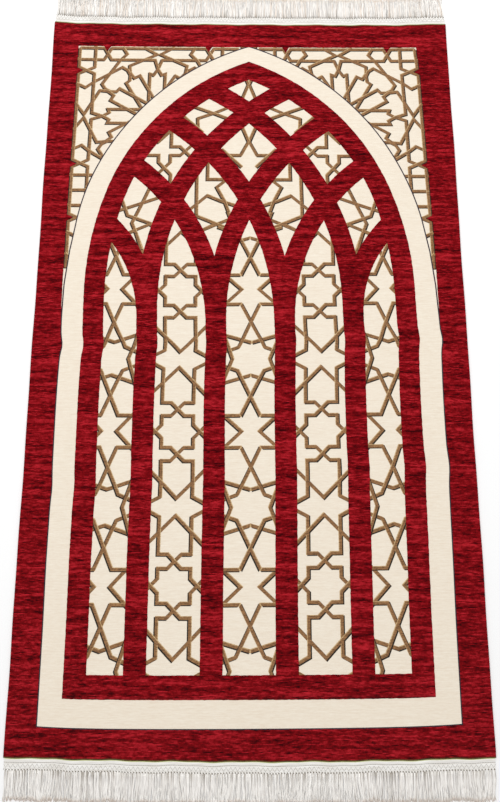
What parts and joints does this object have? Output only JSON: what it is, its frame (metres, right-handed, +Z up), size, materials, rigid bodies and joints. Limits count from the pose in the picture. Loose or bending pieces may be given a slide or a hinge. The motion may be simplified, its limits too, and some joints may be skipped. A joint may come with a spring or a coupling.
{
  "type": "fringed prayer rug",
  "caption": "Flat chenille prayer rug with an arched tracery field, star lattice, plain border and a fringed trim at each end.",
  "frame": {"origin": "middle of the whole rug with its fringes, on the floor underneath it", "axes": "+Y along the length towards the point of the arch, +X across the width, +Z up out of the pile"},
  "size_m": [0.681, 1.26, 0.003],
  "materials": {
    "chenille_crimson": "crimson chenille pile with darker and lighter streaks along the weft",
    "ground_cream": "flat woven cream ground with a fine weft rib",
    "lattice_gold": "antique gold weft floats, slightly lustrous",
    "lattice_shadow": "dark olive weft beside the gold",
    "outline_dark": "thin dark outline weft",
    "trim_ivory": "ivory viscose tape and loose strands",
    "back_weave": "plain woven underside"
  },
  "bodies": {
    "root": {"rug_cloth": "chenille_crimson", "fringe_head": "trim_ivory", "fringe_foot": "trim_ivory"}
  },
  "joints": []
}
